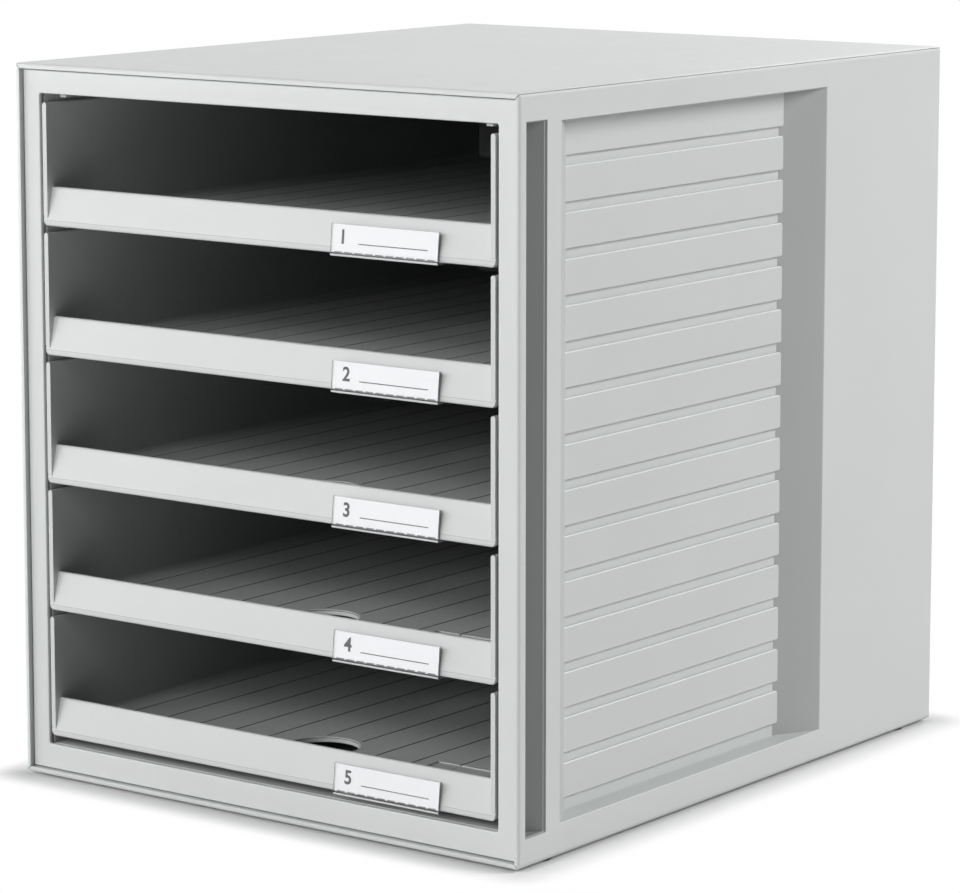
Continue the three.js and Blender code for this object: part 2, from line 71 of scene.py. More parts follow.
# Shares of a face's normal that point along an axis
UPRIGHT = 0.9999                         # an upright front, without any lean
LEVEL = 0.99                             # a level face
SQUARE_ON = 0.95                         # a face that looks along the axis
NEARLY_SQUARE_ON = 0.9                   # the same, for the holders' folded sheet
SLANTED = 0.5                            # a bevel between two such faces
EDGE_ON = 0.05                           # a face that lies along the axis
NEARLY_EDGE_ON = 0.1                     # the same, for the leaning faces of the recess
WALL_LEAN = (0.3, 0.7)                   # the leaning walls of the recess
BROW_LEAN = (0.6, 0.8)                   # the chamfers along the ribs' tops

# Places on the CAD pieces at which edges and faces are looked for
HOLE_MIDDLE = Vector((0, -0.1233))       # a tray's finger hole, seen from above
HOLE_RADIUS = 0.0164
HOLE_MARGIN = 0.1 * MILLIMETRE
FACE_MARGIN = 0.01 * MILLIMETRE
RECESS_FRONT, RECESS_REAR = -0.136, 0.075
RECESS_BOTTOM, RECESS_TOP = 0.014, 0.309
LINER_FACE = 0.1255                      # a side panel's inner face lies nearer the middle
SLOT_FRONT, SLOT_REAR = -0.1625, -0.1467
FLOOR_HEIGHT = 0.0059                    # a tray's floor above the tray's lowest edge
GROOVE_DEPTH = 0.00081
GROOVE_FOOT = 0.9                        # share of that depth that a groove's faces pass
LIP_LINE_SPAN = 3                        # a lip's fine line is narrower than this many radii

# Making the pieces
MERGE_DISTANCE = 0.001 * MILLIMETRE
LARGE_FACES_RULE = 100                   # weighting under which large faces decide a normal
GAP_CUTTER_DEPTH = 2 * MILLIMETRE        # reaches through a card
INK_RELIEF = 0.02 * MILLIMETRE
DIGIT_SHARE = 0.73                       # height of the font's digits, as a share of its size
BOLD_SHARE = 0.035                       # how far the digits' outlines are moved out

# Making the finishes
NOISE_SPAN = (0.3, 0.7)                  # nearly all of a noise lies between these
HOLLOW_SPAN = (0.0, 0.11)                # open share of the view in a deep hollow and outside
HOLLOW_SAMPLES = 8
EDGE_SAMPLES = 2
PIGMENT_LUMP = 60 * MILLIMETRE           # width of the drifts of pigment in the plastic
SHEEN_LUMP = 9 * MILLIMETRE              # width of its more and less glossy spots
SHEEN_DRIFT = 0.04                       # how far their roughness lies from the middle
PLASTIC_IOR = 1.5

# Camera and studio, in millimetres for the sensor and metres for the rest
SENSOR_WIDTH = 36
FLOOR_SIZE = 12
LAMP_AIM = Vector((0, 0, 0.16))
SOFT_BOXES = {                           # place, then width and height
    "front_left": ((-1.95, -2.85, 1.3), (1.8, 1.8)),
    "front": ((-0.15, -3.6, 1.45), (0.9, 1.8)),
    "left": ((-1.9, -1.0, 0.4), (1.2, 1.2)),
    "rear": ((-0.4, 2.4, 0.9), (1.2, 1.2)),
    "right": ((2.9, 1.69, 2.03), (2, 2)),
    "top": ((-0.1, 0.3, 1.2), (1, 1)),
}


# Settings

class CameraSettings(bpy.types.PropertyGroup):
    """Where the camera stands and how it looks at the cabinet."""

    location: bpy.props.FloatVectorProperty(
        name="Location", description="Place of the lens", subtype="TRANSLATION", unit="LENGTH",
        size=3, default=(1.0716, -1.4377, 0.4501))
    heading: bpy.props.FloatProperty(
        name="Heading", description="Turn to the left of straight ahead", subtype="ANGLE",
        default=math.radians(36.858))
    dip: bpy.props.FloatProperty(
        name="Dip", description="How far the view looks down", subtype="ANGLE",
        default=math.radians(8.414))
    focal_length: bpy.props.FloatProperty(
        name="Focal length", description="For the sensor's width", unit="CAMERA", default=149.17)
    rise: bpy.props.FloatProperty(
        name="Rise", description="Shift of the frame against the lens, as a share of its width",
        default=-0.1)


class PlasticSettings(bpy.types.PropertyGroup):
    """The moulded plastics of the casing and the trays."""

    casing_colour: bpy.props.FloatVectorProperty(
        name="Casing", description="Light grey of the casing", subtype="COLOR", size=3,
        min=0, max=1, default=(0.640, 0.660, 0.655))
    tray_colour: bpy.props.FloatVectorProperty(
        name="Trays", description="Light grey of the trays", subtype="COLOR", size=3,
        min=0, max=1, default=(0.595, 0.613, 0.609))
    colour_drift: bpy.props.FloatProperty(
        name="Colour drift", description="How much the pigment varies over a moulding",
        subtype="FACTOR", min=0, max=1, default=0.03)
    roughness: bpy.props.FloatProperty(
        name="Roughness", description="Middle roughness of the satin surface", subtype="FACTOR",
        min=0, max=1, default=0.46)
    grain_size: bpy.props.FloatProperty(
        name="Grain size", description="Width of the mould's spark-eroded grain", unit="LENGTH",
        precision=5, default=0.45 * MILLIMETRE)
    grain_depth: bpy.props.FloatProperty(
        name="Grain depth", description="Height of the grain", unit="LENGTH",
        precision=6, default=0.012 * MILLIMETRE)
    edge_softness: bpy.props.FloatProperty(
        name="Edge softness", description="Radius by which fine edges catch light", unit="LENGTH",
        precision=5, default=0.25 * MILLIMETRE)
    # Painted shade: the grip recess is made a little darker than the casing, as if its walls shade it
    recess_tone: bpy.props.FloatProperty(
        name="Recess tone", description="Lightness in the grip recess against the casing's",
        subtype="FACTOR", min=0, max=1, default=0.95)
    # Painted highlight: the ribs' top chamfers are made lighter than the casing, as if lit from above
    rib_brow_tone: bpy.props.FloatProperty(
        name="Brow tone", description="Lightness of the ribs' worn top edges",
        min=0, max=1.5, default=1.45)
    # Painted shade: the recess's leaning walls are made darker, as if turned away from the light
    recess_wall_tone: bpy.props.FloatProperty(
        name="Wall tone", description="Lightness of the recess's leaning walls",
        subtype="FACTOR", min=0, max=1, default=0.71)
    # Painted shade: the narrow front slot is made much darker, as if deep and in shadow
    slot_tone: bpy.props.FloatProperty(
        name="Slot tone", description="Lightness in the narrow front slot against the casing's",
        subtype="FACTOR", min=0, max=1, default=0.46)
    # Painted shade: a tray's fine floor grooves and the fine line along its lip are made darker
    line_tone: bpy.props.FloatProperty(
        name="Line tone", description="Lightness in a tray's fine grooves against the tray's",
        subtype="FACTOR", min=0, max=1, default=0.3)
    hollow_reach: bpy.props.FloatProperty(
        name="Hollow reach", description="Distance within which walls make a place a hollow",
        unit="LENGTH", default=600 * MILLIMETRE)
    # Painted shade: the plastic's colour is darkened where an ambient occlusion node finds little open
    # view
    hollow_shade: bpy.props.FloatProperty(
        name="Hollow shade", description="How much darker the plastic looks in hollows",
        subtype="FACTOR", min=0, max=1, default=0.45)


class EdgeSettings(bpy.types.PropertyGroup):
    """Radii of edges that the mould rounds off."""

    recess_mouth: bpy.props.FloatProperty(
        name="Recess mouth", description="Outer edge of the grip recess", unit="LENGTH",
        precision=5, default=0.5 * MILLIMETRE)
    lip_line: bpy.props.FloatProperty(
        name="Lip line", description="Half the width of the fine line along a tray's lip",
        unit="LENGTH", precision=5, default=0.05 * MILLIMETRE)
    holder_hem: bpy.props.FloatProperty(
        name="Holder hem", description="Lower front edge of a label holder", unit="LENGTH",
        precision=5, default=0.45 * MILLIMETRE)
    finger_hole: bpy.props.FloatProperty(
        name="Finger hole", description="Upper rim of a tray's finger hole", unit="LENGTH",
        precision=5, default=0.8 * MILLIMETRE)


class LabelSettings(bpy.types.PropertyGroup):
    """The cards and their clear holders."""

    card_colour: bpy.props.FloatVectorProperty(
        name="Card", description="White of the card", subtype="COLOR", size=3, min=0, max=1,
        default=(0.90, 0.91, 0.93))
    ink_colour: bpy.props.FloatVectorProperty(
        name="Ink", description="Print on the card", subtype="COLOR", size=3, min=0, max=1,
        default=(0.02, 0.02, 0.022))
    number_height: bpy.props.FloatProperty(
        name="Number height", description="Height of the printed number", unit="LENGTH",
        default=6 * MILLIMETRE)
    number_inset: bpy.props.FloatProperty(
        name="Number inset", description="From the card's left end to the number", unit="LENGTH",
        default=5 * MILLIMETRE)
    line_inset: bpy.props.FloatProperty(
        name="Line inset", description="From the card's left end to the ruled line", unit="LENGTH",
        default=14 * MILLIMETRE)
    line_length: bpy.props.FloatProperty(
        name="Line length", description="Length of the ruled line", unit="LENGTH",
        default=36 * MILLIMETRE)
    line_width: bpy.props.FloatProperty(
        name="Line width", description="Width of the ruled line", unit="LENGTH",
        default=0.4 * MILLIMETRE)
    print_height: bpy.props.FloatProperty(
        name="Print height", description="From the card's lower edge to the foot of the print",
        unit="LENGTH", default=3.9 * MILLIMETRE)
    tooth_pitch: bpy.props.FloatProperty(
        name="Tooth pitch", description="Spacing of the teeth that the perforation leaves",
        unit="LENGTH", default=5.4 * MILLIMETRE)
    tooth_width: bpy.props.FloatProperty(
        name="Tooth width", description="Width of one tooth", unit="LENGTH",
        default=1.1 * MILLIMETRE)
    tooth_length: bpy.props.FloatProperty(
        name="Tooth length", description="How far a tooth reaches below the card's edge",
        unit="LENGTH", default=0.5 * MILLIMETRE)
    clarity: bpy.props.FloatProperty(
        name="Clarity", description="Share of light that passes the holder's sheet",
        subtype="FACTOR", min=0, max=1, default=0.95)
    hem_cover: bpy.props.FloatProperty(
        name="Hem cover", description="Share of light held back by the sheet's lowest edge",
        subtype="FACTOR", min=0, max=1, default=0.85)
    fold_cover: bpy.props.FloatProperty(
        name="Fold cover", description="Share of light held back by its upright fold",
        subtype="FACTOR", min=0, max=1, default=0.75)


class StudioSettings(bpy.types.PropertyGroup):
    """Lamps and floor."""

    front_left_power: bpy.props.FloatProperty(
        name="Front left lamp", description="Power of the soft box at the front left",
        unit="POWER", default=38)
    front_power: bpy.props.FloatProperty(
        name="Front lamp", description="Power of the soft box straight in front",
        unit="POWER", default=56)
    left_power: bpy.props.FloatProperty(
        name="Left lamp", description="Power of the soft box at the left", unit="POWER",
        default=21)
    rear_power: bpy.props.FloatProperty(
        name="Rear lamp", description="Power of the soft box behind on the left",
        unit="POWER", default=16)
    right_power: bpy.props.FloatProperty(
        name="Right lamp", description="Power of the high soft box at the right", unit="POWER",
        default=117)
    top_power: bpy.props.FloatProperty(
        name="Top lamp", description="Power of the soft box overhead", unit="POWER", default=2)
    surround: bpy.props.FloatProperty(
        name="Surround", description="Strength of the light from all round", min=0, default=0)
    floor_colour: bpy.props.FloatVectorProperty(
        name="Floor", description="Pale floor", subtype="COLOR", size=3, min=0, max=1,
        default=(0.90, 0.90, 0.90))
    floor_bounce: bpy.props.FloatProperty(
        name="Floor bounce", description="Share of the floor's light that reaches the cabinet",
        subtype="FACTOR", min=0, max=1, default=0.74)
    shadow_reach: bpy.props.FloatProperty(
        name="Shadow reach", description="Distance from the cabinet at which the floor is white",
        unit="LENGTH", default=0.02)


class FileDrawerSettings(bpy.types.PropertyGroup):
    """All settings of the file drawer."""

    camera: bpy.props.PointerProperty(type=CameraSettings)
    plastic: bpy.props.PointerProperty(type=PlasticSettings)
    edges: bpy.props.PointerProperty(type=EdgeSettings)
    labels: bpy.props.PointerProperty(type=LabelSettings)
    studio: bpy.props.PointerProperty(type=StudioSettings)


def settings():
    """The scene's file drawer settings."""
    return bpy.context.scene.file_drawer


# Selecting and copying

def select_only(*pieces):
    """Selects these pieces alone, or nothing, and makes the last one active."""
    bpy.ops.object.select_all(action="DESELECT")
    for piece in pieces:
        piece.select_set(True)
        bpy.context.view_layer.objects.active = piece


def moulding_copy(node_name):
    """A copy of a CAD node, with whole faces in place of loose triangles."""
    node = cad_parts[node_name]
    piece = bpy.data.objects.new(node_name + "_moulding", node.data.copy())
    bpy.context.scene.collection.objects.link(piece)
    piece.data.name = piece.name
    piece.data.materials.clear()
    select_only(piece)
    bpy.ops.mesh.customdata_custom_splitnormals_clear()
    bpy.ops.object.mode_set(mode="EDIT")
    bpy.ops.mesh.select_all(action="SELECT")
    bpy.ops.mesh.remove_doubles(threshold=MERGE_DISTANCE)
    bpy.ops.mesh.dissolve_limited(angle_limit=FLAT_ANGLE)
    bpy.ops.mesh.select_all(action="SELECT")
    bpy.ops.mesh.mark_sharp(clear=True)
    bpy.ops.mesh.select_all(action="DESELECT")
    bpy.ops.object.mode_set(mode="OBJECT")
    return piece


def on_edges(piece, chosen, operate):
    """Runs an edit mode operator on the edges of a piece for which chosen holds."""
    select_only(piece)
    bpy.ops.object.mode_set(mode="EDIT")
    bpy.ops.mesh.select_mode(type="EDGE")
    bpy.ops.mesh.select_all(action="DESELECT")
    mesh = bmesh.from_edit_mesh(piece.data)
    found = [edge for edge in mesh.edges if len(edge.link_faces) == 2 and chosen(edge)]
    if not found:
        raise RuntimeError(f"{piece.name} has none of the edges looked for")
    for edge in found:
        edge.select_set(True)
    bmesh.update_edit_mesh(piece.data)
    operate()
    bpy.ops.mesh.select_all(action="DESELECT")
    bpy.ops.object.mode_set(mode="OBJECT")


def is_lip_fold(edge):
    """The shallow bend at which a tray's upright lower lip starts to lean."""
    faces_front = all(
        face.normal.y < -SQUARE_ON and face.normal.z > -EDGE_ON and abs(face.normal.x) < EDGE_ON
        for face in edge.link_faces)
    return faces_front and edge.calc_face_angle() > FOLD_ANGLE


def is_hole_rim(edge):
    """The upper rim of a tray's finger hole."""
    tilts = [face.normal.z for face in edge.link_faces]
    reach = [(vertex.co.xy - HOLE_MIDDLE).length for vertex in edge.verts]
    return (max(tilts) > LEVEL and min(abs(tilt) for tilt in tilts) < EDGE_ON
            and all(abs(radius - HOLE_RADIUS) < HOLE_MARGIN for radius in reach))


def is_holder_hem(edge):
    """The lower front edge of a label holder."""
    return (min(face.normal.y for face in edge.link_faces) < -NEARLY_SQUARE_ON
            and min(face.normal.z for face in edge.link_faces) < -NEARLY_SQUARE_ON)


def is_recess_mouth(edge):
    """The upper, lower and rear outer edges of the ribbed grip recess in a side panel."""
    outer = cad_box[1].x
    middle = (edge.verts[0].co + edge.verts[1].co) / 2
    in_mouth = RECESS_FRONT < middle.y < RECESS_REAR and RECESS_BOTTOM < middle.z < RECESS_TOP
    on_side = all(abs(abs(vertex.co.x) - outer) < FACE_MARGIN for vertex in edge.verts)
    return in_mouth and on_side and edge.calc_face_angle() > SHARP_ANGLE


def round_off(piece, chosen, radius, segments):
    """Bevels the edges of a piece for which chosen holds."""
    on_edges(piece, chosen, lambda: bpy.ops.mesh.bevel(
        offset=radius, segments=segments, affect="EDGES", clamp_overlap=True))


def shade(piece):
    """Rounds smooth over arcs and fillets, with flat faces left flat."""
    select_only(piece)
    bpy.ops.object.shade_smooth_by_angle(angle=SHARP_ANGLE)
    weighted = piece.modifiers.new("Flat faces stay flat", "WEIGHTED_NORMAL")
    weighted.keep_sharp = True
    weighted.weight = LARGE_FACES_RULE
    bpy.ops.object.modifier_apply(modifier=weighted.name)


def stand_for(piece, node_name, body):
    """Puts the finished piece in the place of its CAD node."""
    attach(piece, body)
    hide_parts(node_name)


# Finishes

class Finish:
    """A material under construction: adds nodes and joins them."""

    def __init__(self, name):
        self.material = bpy.data.materials.new(name)
        self.material.use_nodes = True
        self.tree = self.material.node_tree
        self.shader = self.tree.nodes["Principled BSDF"]
        self.place = self.add("ShaderNodeTexCoord").outputs["Object"]

    def add(self, kind, **values):
        node = self.tree.nodes.new(kind)
        for key, value in values.items():
            setattr(node, key, value)
        return node

    def join(self, start, end):
        self.tree.links.new(start, end)

    def combine(self, operation, *terms, kind="ShaderNodeMath"):
        """A sum or other operation on outputs of nodes and plain numbers."""
        node = self.add(kind, operation=operation)
        for term, socket in zip(terms, node.inputs):
            if isinstance(term, bpy.types.NodeSocket):
                self.join(term, socket)
            else:
                socket.default_value = term
        return node.outputs[0]

    def carry_over(self, value, source, target, **values):
        """A value carried over from one range to another and kept within it."""
        node = self.add("ShaderNodeMapRange", **values)
        limits = zip(("From Min", "From Max", "To Min", "To Max"), (*source, *target))
        for name, limit in limits:
            node.inputs[name].default_value = limit
        self.join(value, node.inputs["Value"])
        return node.outputs["Result"]

    def noise(self, width, detail=2.0):
        """Noise whose lumps are about as wide as given, in metres."""
        node = self.add("ShaderNodeTexNoise")
        node.inputs["Scale"].default_value = 1 / width
        node.inputs["Detail"].default_value = detail
        self.join(self.place, node.inputs["Vector"])
        return node.outputs["Fac"]

    def drift(self, value, colour, amount):
        """A colour that is a little darker and lighter over the surface."""
        node = self.add("ShaderNodeMix", data_type="RGBA")
        node.inputs["A"].default_value = (*[c * (1 - amount) for c in colour], 1)
        node.inputs["B"].default_value = (*[min(c * (1 + amount), 1) for c in colour], 1)
        self.join(value, node.inputs["Factor"])
        return node.outputs["Result"]

    def darken_hollows(self, colour, reach, shade):
        """Paints shade into the colour of slots, grooves and inner corners, where little light comes
        out again.

        Returns the colour, and how matt each spot is: 1 deep inside, where the sheen has
        nothing bright to reflect, and 0 outside.
        """
        openness = self.add("ShaderNodeAmbientOcclusion", samples=HOLLOW_SAMPLES)
        openness.inputs["Distance"].default_value = reach
        left_over = self.carry_over(openness.outputs["AO"], HOLLOW_SPAN, (1 - shade, 1))
        matt = self.carry_over(openness.outputs["AO"], HOLLOW_SPAN, (1, 0))
        scaled = self.add("ShaderNodeVectorMath", operation="SCALE")
        self.join(colour, scaled.inputs[0])
        self.join(left_over, scaled.inputs["Scale"])
        return scaled.outputs["Vector"], matt

    def relief(self, height, depth, softness=0.0):
        """Surface relief, on edges that catch light as if they were rounded."""
        bump = self.add("ShaderNodeBump")
        bump.inputs["Distance"].default_value = depth
        self.join(height, bump.inputs["Height"])
        if softness:
            edge = self.add("ShaderNodeBevel", samples=EDGE_SAMPLES)
            edge.inputs["Radius"].default_value = softness
            self.join(edge.outputs["Normal"], bump.inputs["Normal"])
        self.join(bump.outputs["Normal"], self.shader.inputs["Normal"])


def moulded_plastic(name, colour, hollow_shade):
    """Satin polystyrene with the fine grain of a spark-eroded mould, and painted shade in its hollows.
    """
    plastic = settings().plastic
    finish = Finish(name)
    sockets = finish.shader.inputs
    pigment = finish.drift(finish.noise(PIGMENT_LUMP), colour, plastic.colour_drift)
    # painted shade: the colour is darkened in hollows
    shaded, matt = finish.darken_hollows(pigment, plastic.hollow_reach, hollow_shade)
    finish.join(shaded, sockets["Base Color"])
    sheen = finish.carry_over(
        finish.noise(SHEEN_LUMP, detail=4), NOISE_SPAN, (-SHEEN_DRIFT, SHEEN_DRIFT))
    level = finish.combine("ADD", sheen, plastic.roughness)
    finish.join(finish.combine("MAXIMUM", level, matt), sockets["Roughness"])
    grain = finish.noise(plastic.grain_size, detail=1)
    finish.relief(grain, plastic.grain_depth, plastic.edge_softness)
    sockets["IOR"].default_value = PLASTIC_IOR
    return finish.material


def plain_finish(name, colour, drift, lump, roughness, cover=1.0, detail=2.0, grain=None):
    """A finish without hollows.

    Its colour drifts over lumps of the given width, cover is the share of light that it
    holds back, and grain is the width, height and detail of its relief.
    """
    finish = Finish(name)
    tone = finish.drift(finish.noise(lump, detail), colour, drift)
    finish.join(tone, finish.shader.inputs["Base Color"])
    finish.shader.inputs["Roughness"].default_value = roughness
    finish.shader.inputs["Alpha"].default_value = cover
    if grain:
        width, height, grain_detail = grain
        finish.relief(finish.noise(width, grain_detail), height)
    return finish.material


def clear_plastic():
    """Polished clear sheet."""
    return plain_finish(
        "clear_sheet", colour=(0.93, 0.94, 0.95), drift=0.01, lump=20 * MILLIMETRE,
        roughness=0.08, cover=1 - settings().labels.clarity,
        grain=(6 * MILLIMETRE, 0.004 * MILLIMETRE, 2))


def clear_edge():
    """The cut ends of the clear sheet, painted dark as painted shade for the dark pocket behind them.
    """
    return plain_finish(
        "clear_sheet_end", colour=(0.16, 0.17, 0.18), drift=0.15, lump=5 * MILLIMETRE,
        roughness=0.2, cover=0.85)


def clear_fold(name, cover):
    """The folded lower edge of the clear sheet, painted whitish as a painted highlight where the fold
    gathers light.
    """
    return plain_finish(
        name, colour=(0.88, 0.90, 0.91), drift=0.04, lump=5 * MILLIMETRE, roughness=0.2,
        cover=cover)


def paper_card():
    """White card with a faint fibre."""
    return plain_finish(
        "white_card", colour=settings().labels.card_colour, drift=0.012,
        lump=1.5 * MILLIMETRE, detail=4, roughness=0.75,
        grain=(0.2 * MILLIMETRE, 0.006 * MILLIMETRE, 3))


def printed_ink():
    """Black print that lies a little uneven on the card."""
    return plain_finish(
        "printed_ink", colour=settings().labels.ink_colour, drift=0.3,
        lump=0.4 * MILLIMETRE, roughness=0.6)


def foot_rubber():
    """Matt dark rubber."""
    return plain_finish(
        "foot_rubber", colour=(0.035, 0.035, 0.036), drift=0.15, lump=2 * MILLIMETRE,
        detail=4, roughness=0.85, grain=(0.3 * MILLIMETRE, 0.02 * MILLIMETRE, 2))


def plastic_version(name, base_colour, tone, hollow_shade):
    """The moulded plastic of that name, lighter or darker by tone, made on first use."""
    colour = [channel * tone for channel in base_colour]
    return bpy.data.materials.get(name) or moulded_plastic(name, colour, hollow_shade)


def casing_plastic(name="moulded_casing", tone=1.0):
    """The casing's plastic, under a name that none of the frame's slots has."""
    plastic = settings().plastic
    return plastic_version(name, plastic.casing_colour, tone, plastic.hollow_shade)


def tray_plastic(name="moulded_tray", tone=1.0, hollow_share=1.0):
    """The trays' plastic, with all or a share of the casing's painted shade in hollows."""
    plastic = settings().plastic
    return plastic_version(name, plastic.tray_colour, tone, plastic.hollow_shade * hollow_share)


# Pieces

class FILEDRAWER_OT_camera(bpy.types.Operator):
    """Sets up the camera at the photograph's viewing angle."""

    bl_idname = "file_drawer.camera"
    bl_label = "Camera"

    def execute(self, context):
        view = settings().camera
        data = bpy.data.cameras.new("camera")
        data.sensor_width = SENSOR_WIDTH
        data.lens = view.focal_length
        data.shift_y = view.rise
        camera = bpy.data.objects.new("camera", data)
        context.scene.collection.objects.link(camera)
        camera.location = view.location
        camera.rotation_euler = (math.pi / 2 - view.dip, 0, view.heading)
        context.scene.camera = camera
        return {"FINISHED"}


def finish_side_hollows(panel):
    """Gives the ribbed grip recess, its leaning walls and the front slot of a side panel darker tones
    of the casing's plastic as painted shade, and the ribs' top chamfers a lighter tone as painted
    highlight.
    """
    plastic = settings().plastic
    for part in ("recess", "recess_wall", "slot", "rib_brow"):
        tone = getattr(plastic, f"{part}_tone")
        panel.data.materials.append(casing_plastic(f"{part}_plastic", tone))
    recess, recess_wall, slot, rib_brow = range(1, 5)
    for face in panel.data.polygons:
        middle, normal = face.center, face.normal
        within = (LINER_FACE < abs(middle.x) < cad_box[1].x - FACE_MARGIN
                  and RECESS_BOTTOM < middle.z < RECESS_TOP)
        # the recess gets a darker tone as painted shade
        if within and RECESS_FRONT - MILLIMETRE < middle.y < RECESS_REAR:
            face.material_index = recess
            # the leaning walls get a darker tone as painted shade
            if WALL_LEAN[0] < abs(normal.y) < WALL_LEAN[1] and abs(normal.z) < NEARLY_EDGE_ON:
                face.material_index = recess_wall
            # the ribs' top chamfers get a lighter tone as painted highlight
            elif BROW_LEAN[0] < normal.z < BROW_LEAN[1] and abs(normal.y) < NEARLY_EDGE_ON:
                face.material_index = rib_brow
        # the front slot gets a much darker tone as painted shade
        elif within and SLOT_FRONT < middle.y < SLOT_REAR:
            face.material_index = slot


class FILEDRAWER_OT_casing(bpy.types.Operator):
    """Finishes the panels, the front frame, the ledges and the stops."""

    bl_idname = "file_drawer.casing"
    bl_label = "Casing"

    def execute(self, context):
        names = ["left_side_panel", "right_side_panel", "top_panel", "bottom_panel", "back_panel"]
        names += ["front_frame", "top_stop_left", "top_stop_right"]
        names += [f"ledge_{side}_{bay}" for side in ("left", "right") for bay in BAYS]
        for name in names:
            piece = moulding_copy(name)
            is_side = name.endswith("side_panel")
            if is_side:
                mouth_radius = settings().edges.recess_mouth
                round_off(piece, is_recess_mouth, mouth_radius, segments=2)
            shade(piece)
            piece.data.materials.append(casing_plastic())
            if is_side:
                finish_side_hollows(piece)
            stand_for(piece, name, CASING_BODY)
        return {"FINISHED"}


def finish_tray_lines(tray):
    """Paints shade into the fine grooves in a tray's floor and the fine line on its lip by a darker
    tone, and gives the rest of the lip's front a finish without painted hollow shade.
    """
    tray.data.materials.append(
        tray_plastic("tray_groove_plastic", settings().plastic.line_tone))
    tray.data.materials.append(tray_plastic("tray_lip_plastic", hollow_share=0))
    line, lip = 1, 2
    floor_top = min(vertex.co.z for vertex in tray.data.vertices) + FLOOR_HEIGHT
    line_width = LIP_LINE_SPAN * settings().edges.lip_line
    lip_rear = HOLE_MIDDLE.y - HOLE_RADIUS
    for face in tray.data.polygons:
        heights = [tray.data.vertices[index].co.z for index in face.vertices]
        lowest, highest = min(heights), max(heights)
        looks_forward = face.normal.y < -SQUARE_ON
        in_groove = (floor_top - GROOVE_DEPTH < lowest < floor_top - GROOVE_FOOT * GROOVE_DEPTH
                     and highest < floor_top + FACE_MARGIN)
        on_line = looks_forward and highest < floor_top and highest - lowest < line_width
        # grooves and the lip's fine line get the darker tone as painted shade
        if in_groove or on_line:
            face.material_index = line
        elif looks_forward and face.center.y < lip_rear:
            face.material_index = lip


class FILEDRAWER_OT_trays(bpy.types.Operator):
    """Finishes the five sliding trays."""

    bl_idname = "file_drawer.trays"
    bl_label = "Trays"

    def execute(self, context):
        edges = settings().edges
        for bay in BAYS:
            name = f"drawer_tray_{bay}"
            piece = moulding_copy(name)
            round_off(piece, is_hole_rim, edges.finger_hole, segments=3)
            round_off(piece, is_lip_fold, edges.lip_line, segments=1)
            shade(piece)
            piece.data.materials.append(tray_plastic())
            finish_tray_lines(piece)
            stand_for(piece, name, f"drawer_{bay}")
        return {"FINISHED"}


class FILEDRAWER_OT_label_holders(bpy.types.Operator):
    """Finishes the clear clip-on holders."""

    bl_idname = "file_drawer.label_holders"
    bl_label = "Label holders"

    def execute(self, context):
        labels = settings().labels
        finishes = (
            clear_plastic(), clear_edge(), clear_fold("clear_sheet_hem", labels.hem_cover),
            clear_fold("clear_sheet_fold", labels.fold_cover))
        cut_end, hem, fold = 1, 2, 3
        for bay in BAYS:
            name = f"label_holder_{bay}"
            piece = moulding_copy(name)
            round_off(piece, is_holder_hem, settings().edges.holder_hem, segments=1)
            shade(piece)
            for finish in finishes:
                piece.data.materials.append(finish)
            for face in piece.data.polygons:
                # the cut ends get the dark sheet as painted shade
                if abs(face.normal.x) > NEARLY_SQUARE_ON:
                    face.material_index = cut_end
                # the hem and the fold get the whitish sheet as painted highlight
                elif face.normal.y < -SLANTED and face.normal.z < -SLANTED:
                    face.material_index = hem
                elif face.normal.y < -UPRIGHT:
                    face.material_index = fold
            stand_for(piece, name, f"drawer_{bay}")
        return {"FINISHED"}


def tear_teeth(card, lowest, length):
    """Cuts the gaps of the torn perforation out of a card's lower edge."""
    labels = settings().labels
    gap = labels.tooth_pitch - labels.tooth_width
    count = round(length / labels.tooth_pitch)
    start = lowest.x + (length - count * labels.tooth_pitch + labels.tooth_width) / 2
    select_only()
    bpy.ops.mesh.primitive_cube_add(size=1, location=(start + gap / 2, lowest.y, lowest.z))
    cutter = bpy.context.object
    cutter.scale = (gap, GAP_CUTTER_DEPTH, 2 * labels.tooth_length)
    bpy.ops.object.transform_apply(location=True, rotation=False, scale=True)
    row = cutter.modifiers.new("Row of gaps", "ARRAY")
    row.count = count
    row.use_relative_offset = False
    row.use_constant_offset = True
    row.constant_offset_displace = (labels.tooth_pitch, 0, 0)
    bpy.ops.object.modifier_apply(modifier=row.name)
    select_only(card)
    cut = card.modifiers.new("Torn edge", "BOOLEAN")
    cut.operation = "DIFFERENCE"
    cut.solver = "EXACT"
    cut.object = cutter
    bpy.ops.object.modifier_apply(modifier=cut.name)
    bpy.data.objects.remove(cutter)


def lay_on_card(print_piece, place, lean):
    """Turns a flat piece of print upright, leans it as the card leans and puts it in its place."""
    select_only(print_piece)
    print_piece.rotation_euler = (math.pi / 2 - lean, 0, 0)
    print_piece.location = place
    bpy.ops.object.transform_apply(location=True, rotation=True, scale=False)


def printed_number(number, height):
    """A plain bold number as a thin mesh, its lower left corner at the origin."""
    select_only()
    bpy.ops.object.text_add(location=(0, 0, 0))
    text = bpy.context.object
    text.data.body = str(number)
    text.data.size = height / DIGIT_SHARE
    text.data.offset = BOLD_SHARE * height
    text.data.extrude = INK_RELIEF
    bpy.ops.object.convert(target="MESH")
    piece = bpy.context.object
    left = min(vertex.co.x for vertex in piece.data.vertices)
    piece.location.x = -left
    bpy.ops.object.transform_apply(location=True, rotation=False, scale=False)
    return piece


def ruled_line(length, width):
    """A thin line for writing, its lower left corner at the origin."""
    select_only()
    bpy.ops.mesh.primitive_cube_add(size=1, location=(length / 2, width / 2, 0))
    line = bpy.context.object
    line.scale = (length, width, 2 * INK_RELIEF)
    bpy.ops.object.transform_apply(location=True, rotation=False, scale=True)
    return line


